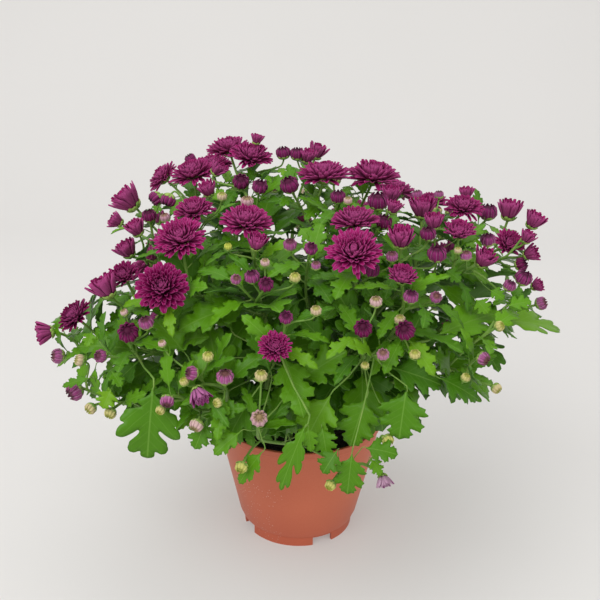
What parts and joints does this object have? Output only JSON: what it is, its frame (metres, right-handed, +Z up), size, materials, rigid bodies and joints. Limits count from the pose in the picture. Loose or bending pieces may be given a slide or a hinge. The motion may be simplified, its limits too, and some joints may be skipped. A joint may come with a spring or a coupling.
{
  "type": "pot chrysanthemum",
  "caption": "Bushy flowering house plant: branching stems with lobed leaves, layered purple blooms and closed buds, rooted in soil in a tapered plastic pot.",
  "frame": {"origin": "on the ground under the middle of the pot's foot, which is also the bottom centre of the whole plant's box to within 3 mm", "axes": "+Z up along the pot's axis, -Y towards the side the picture was taken from, +X to the right in that view"},
  "size_m": [0.4027, 0.3491, 0.3245],
  "materials": {
    "terracotta_plastic": "matte",
    "potting_soil": "matte, crumbly",
    "leaf_green": "satin",
    "petal_purple": "matte",
    "young_petal_purple": "matte"
  },
  "bodies": {
    "root": {"pot": "terracotta_plastic", "soil": "potting_soil", "leafy_stem_01": "leaf_green", "leafy_stem_02": "leaf_green", "leafy_stem_03": "leaf_green", "leafy_stem_04": "leaf_green", "leafy_stem_05": "leaf_green", "leafy_stem_06": "leaf_green", "leafy_stem_07": "leaf_green", "leafy_stem_08": "leaf_green", "leafy_stem_09": "leaf_green", "leafy_stem_10": "leaf_green", "leafy_stem_11": "leaf_green", "leafy_stem_12": "leaf_green", "open_bloom_01": "petal_purple", "open_bloom_02": "petal_purple", "open_bloom_03": "petal_purple", "open_bloom_04": "petal_purple", "open_bloom_05": "petal_purple", "open_bloom_06": "petal_purple", "open_bloom_07": "petal_purple", "open_bloom_08": "petal_purple", "open_bloom_09": "petal_purple", "open_bloom_10": "petal_purple", "open_bloom_11": "petal_purple", "open_bloom_12": "petal_purple", "open_bloom_13": "petal_purple", "open_bloom_14": "petal_purple", "open_bloom_15": "petal_purple", "open_bloom_16": "petal_purple", "open_bloom_17": "petal_purple", "open_bloom_18": "petal_purple", "open_bloom_19": "petal_purple", "open_bloom_20": "petal_purple", "open_bloom_21": "petal_purple", "open_bloom_22": "petal_purple", "open_bloom_23": "petal_purple", "open_bloom_24": "petal_purple", "open_bloom_25": "petal_purple", "open_bloom_26": "petal_purple", "open_bloom_27": "petal_purple", "open_bloom_28": "petal_purple", "open_bloom_29": "petal_purple", "half_open_bloom_01": "young_petal_purple", "half_open_bloom_02": "young_petal_purple", "half_open_bloom_03": "young_petal_purple", "half_open_bloom_04": "young_petal_purple", "half_open_bloom_05": "young_petal_purple", "half_open_bloom_06": "young_petal_purple", "half_open_bloom_07": "young_petal_purple", "half_open_bloom_08": "young_petal_purple", "half_open_bloom_09": "young_petal_purple", "half_open_bloom_10": "young_petal_purple", "half_open_bloom_11": "young_petal_purple", "half_open_bloom_12": "young_petal_purple", "half_open_bloom_13": "young_petal_purple", "half_open_bloom_14": "young_petal_purple", "half_open_bloom_15": "young_petal_purple", "half_open_bloom_16": "young_petal_purple", "half_open_bloom_17": "young_petal_purple"}
  },
  "joints": []
}
